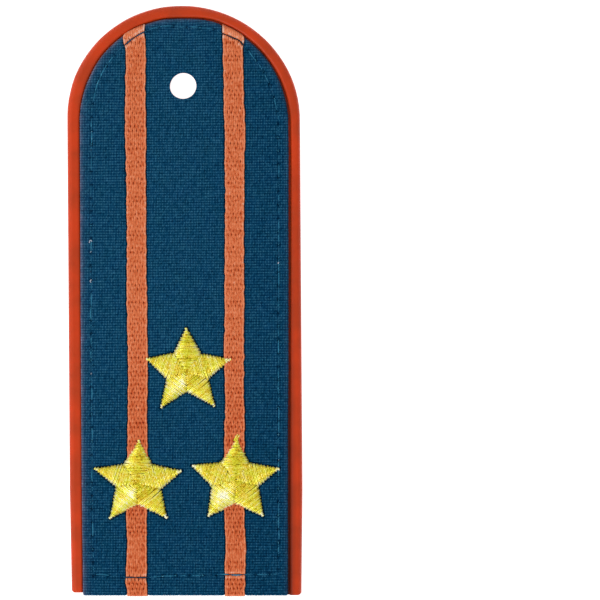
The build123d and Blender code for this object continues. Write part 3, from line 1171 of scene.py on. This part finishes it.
# Spun polyester sewing thread, slate blue, and the paler lower thread
def sewingThread():
    material = newMaterial("polyester_thread_spun")
    ply = addNode(material, "ShaderNodeAttribute", {"attribute_name": "tone"})
    colour = addNode(material, "ShaderNodeValToRGB", {"stops": [
        (0.0, "#24262c"), (0.25, "#11405e"), (0.5, "#1f6483"), (0.85, "#3a86a4"), (1.0, "#b4bccc"),
    ]}, {"Fac": (ply, "Fac")})
    shader = addNode(material, "ShaderNodeBsdfPrincipled", {"Roughness": 0.7, "Specular IOR Level": 0.1}, {
        "Base Color": (colour, "Color")})
    addNode(material, "ShaderNodeOutputMaterial", links={"Surface": (shader, "BSDF")})
    return material


stitchMesh = meshFromBmesh("seam_stitches", threadMesh(stitchPaths(), seam["thread"], 8))
addPiece("seam_stitches", stitchMesh, sewingThread())
print("stage: seam")


# The moulded tray: the plate and its edging, with the edging's ends as they came from the tool

tray = {
    "endZone": 6 * mm,          # the ends are drawn out or back over this length
    "leftEnd": 0.37 * mm,       # how far the left end is drawn back
    "rightEnd": -0.55 * mm,     # and the right one, which is the longer
    "inner": 24.0 * mm,         # only what is further out than this is edging
    "wall": 25.2 * mm,          # half width inside the edging
    "plateEnd": clothLow.y + 1.25 * mm,
    "endMargin": 0.05 * mm,     # points this near it belong to it
    "plateGrow": 0.65 * mm,     # the plate reaches this much further into the cloth's fold
    "holeGrow": 0.12 * mm,      # the plate's hole is this much wider than the cloth's
    "holeMargin": 0.1 * mm,     # points this near the hole belong to it
    "grime": [(25.2, 0.75), (26.0, 0.16), (26.9, 0.0)],     # painted shade in the right groove: mm from the middle, share
    "grooveShadeFade": 60,            # it fades to none over this many mm up to the shoulder
    "sharpAngle": 30,           # degrees
}


def trayMesh():
    bm = bmesh.new()
    bm.from_mesh(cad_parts["base_tray"].data)
    bmesh.ops.remove_doubles(bm, verts=bm.verts, dist=sameSpot)
    grime = bm.verts.layers.float.new("grime")
    middle = Vector((0, hole["along"]))
    for v in bm.verts:
        outX, outY, reach, place = outwardAt(v.co.x, v.co.y)
        if (v.co.xy - middle).length < hole["radius"] + tray["holeMargin"]:
            v.co += Vector((*(v.co.xy - middle).normalized(), 0)) * tray["holeGrow"]
        elif reach > tray["inner"]:
            if abs(v.co.y - tray["plateEnd"]) < tray["endMargin"]:
                v.co.y -= tray["plateGrow"]
            # Painted shade: darker in the right groove, fading towards the shoulder
            v[grime] = between(tray["grime"], reach / mm)[0] * blend(-place / tray["grooveShadeFade"])
            outer, wall, _ = between(strays, place)
            near = blend((trayLow.y + tray["endZone"] - v.co.y) / tray["endZone"])
            v.co.y += near * (tray["rightEnd"] if v.co.x > 0 else tray["leftEnd"])
            share = clamp((reach - tray["wall"]) / (trayHigh.x - tray["wall"]))
            shift = (wall + (outer - wall) * share) * mm
            v.co += Vector((outX, outY, 0)) * shift
    mesh = meshFromBmesh("moulded_tray", bm)
    mesh.set_sharp_from_angle(angle=math.radians(tray["sharpAngle"]))
    return mesh


# Soft PVC, injection moulded, the colour right through: satin, with faint flow marks. The right groove is
# darkened as painted shade.
def mouldedPvc():
    material = newMaterial("soft_pvc_moulded")
    place = addNode(material, "ShaderNodeTexCoord")
    flow = addNode(material, "ShaderNodeTexNoise", {"Scale": 1 / (5 * mm), "Detail": 3.0}, {
        "Vector": (place, "Object")})
    colour = addNode(material, "ShaderNodeValToRGB", {"stops": [(0.35, "#b6390e"), (0.65, "#cb3c0c")]}, {
        "Fac": (flow, "Fac")})
    # Painted shade in the right groove, mixed over the red
    grooveShadeShare = addNode(material, "ShaderNodeAttribute", {"attribute_name": "grime"})
    shadedColour = addNode(material, "ShaderNodeMix", {"data_type": "RGBA", 7: linearColour("#2c0600")}, {
        0: (grooveShadeShare, "Fac"), 6: (colour, "Color")})
    skin = addNode(material, "ShaderNodeTexNoise", {"Scale": 1 / (0.6 * mm), "Detail": 2.0}, {
        "Vector": (place, "Object")})
    bump = addNode(material, "ShaderNodeBump", {"Strength": 0.10, "Distance": 0.05 * mm}, {
        "Height": (skin, "Fac")})
    shader = addNode(material, "ShaderNodeBsdfPrincipled", {
        "Roughness": 0.45, "Specular IOR Level": 0.24, "Subsurface Weight": 0.1, "Subsurface Scale": 0.6 * mm,
        "Subsurface Radius": (1.0, 0.35, 0.2),
    }, {"Base Color": (shadedColour, 2), "Normal": (bump, "Normal")})
    addNode(material, "ShaderNodeOutputMaterial", links={"Surface": (shader, "BSDF")})
    return material


trayPiece = addPiece("moulded_tray", trayMesh(), mouldedPvc())
weighted = trayPiece.modifiers.new("flat faces stay flat", "WEIGHTED_NORMAL")
weighted.keep_sharp = True
weighted.weight = 100
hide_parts("base_tray")
print("stage: tray")


# Studio: a pale table lit from below, a soft key from the lower left, and softer light all round

studio = {
    "photoScale": 4.156,        # photograph's pixels to the millimetre
    "photoPixels": 600,
    "cameraX": 27.82 * mm,
    "cameraY": 0.08 * mm,
    "cameraHeight": 1.6,
    "sensor": 36.0,             # mm
    "roll": -0.315,             # degrees
    "skyStrength": 0.45,
    "tableGlow": 0.9,
    "tableHalf": 3.0,
    # In small squares and just clear of the board, so that rays between the two are told apart
    "tableSquares": 60,
    "tableDrop": 0.04 * mm,
    # name, compass direction and height of each softbox in degrees, then distance, power and size
    "softboxes": [
        ("key_softbox", 230, 42, 1.1, 6.0, 0.5),
        ("left_softbox", 150, 32, 1.2, 2.8, 0.8),
        ("right_softbox", 330, 32, 1.2, 1.4, 0.8),
        ("back_softbox", 75, 36, 1.2, 2.2, 0.8),
    ],
}


def addSoftbox(name, degrees, height, distance, power, size):
    data = bpy.data.lights.new(name, "AREA")
    data.energy = power
    data.size = size
    lamp = addObject(name, data)
    turn, rise = math.radians(degrees), math.radians(height)
    flat = distance * math.cos(rise)
    place = Vector((flat * math.cos(turn), flat * math.sin(turn), distance * math.sin(rise)))
    lamp.location = place
    lamp.rotation_euler = (-place).to_track_quat("-Z", "Y").to_euler()      # towards the board


# Opal acrylic table with light coming through it; seen from below it is clear
def opalTable():
    material = newMaterial("opal_acrylic_table")
    opal = addNode(material, "ShaderNodeBsdfPrincipled", {
        "Base Color": linearColour("#d8d8d8"), "Roughness": 0.9, "Specular IOR Level": 0.1,
        "Emission Color": linearColour("#ffffff"), "Emission Strength": studio["tableGlow"]})
    clear = addNode(material, "ShaderNodeBsdfTransparent")
    side = addNode(material, "ShaderNodeNewGeometry")
    either = addNode(material, "ShaderNodeMixShader", links={
        0: (side, "Backfacing"), 1: (opal, "BSDF"), 2: (clear, "BSDF")})
    addNode(material, "ShaderNodeOutputMaterial", links={"Surface": (either, "Shader")})
    return material


def buildStudio():
    bm = bmesh.new()
    squares = studio["tableSquares"]
    bmesh.ops.create_grid(bm, x_segments=squares, y_segments=squares, size=studio["tableHalf"])
    bmesh.ops.translate(bm, verts=bm.verts, vec=(0, 0, -studio["tableDrop"]))
    mesh = bpy.data.meshes.new("floor")
    bm.to_mesh(mesh)
    bm.free()
    mesh.materials.append(opalTable())
    floor = addObject("floor", mesh)

    world = bpy.data.worlds.new("studio")
    world.use_nodes = True
    sky = world.node_tree.nodes["Background"]
    sky.inputs["Color"].default_value = linearColour("#ffffff")
    sky.inputs["Strength"].default_value = studio["skyStrength"]
    bpy.context.scene.world = world
    for softbox in studio["softboxes"]:
        addSoftbox(*softbox)

    camera = addObject("camera", bpy.data.cameras.new("camera"))
    seenWidth = studio["photoPixels"] / studio["photoScale"] * mm
    camera.data.sensor_width = studio["sensor"]
    camera.data.lens = camera.data.sensor_width * (studio["cameraHeight"] - clothHigh.z) / seenWidth
    camera.location = (studio["cameraX"], studio["cameraY"], studio["cameraHeight"])
    camera.rotation_euler = (0, 0, math.radians(studio["roll"]))
    bpy.context.scene.camera = camera
    bpy.context.scene.view_settings.view_transform = "Standard"


buildStudio()
print("stage: studio")
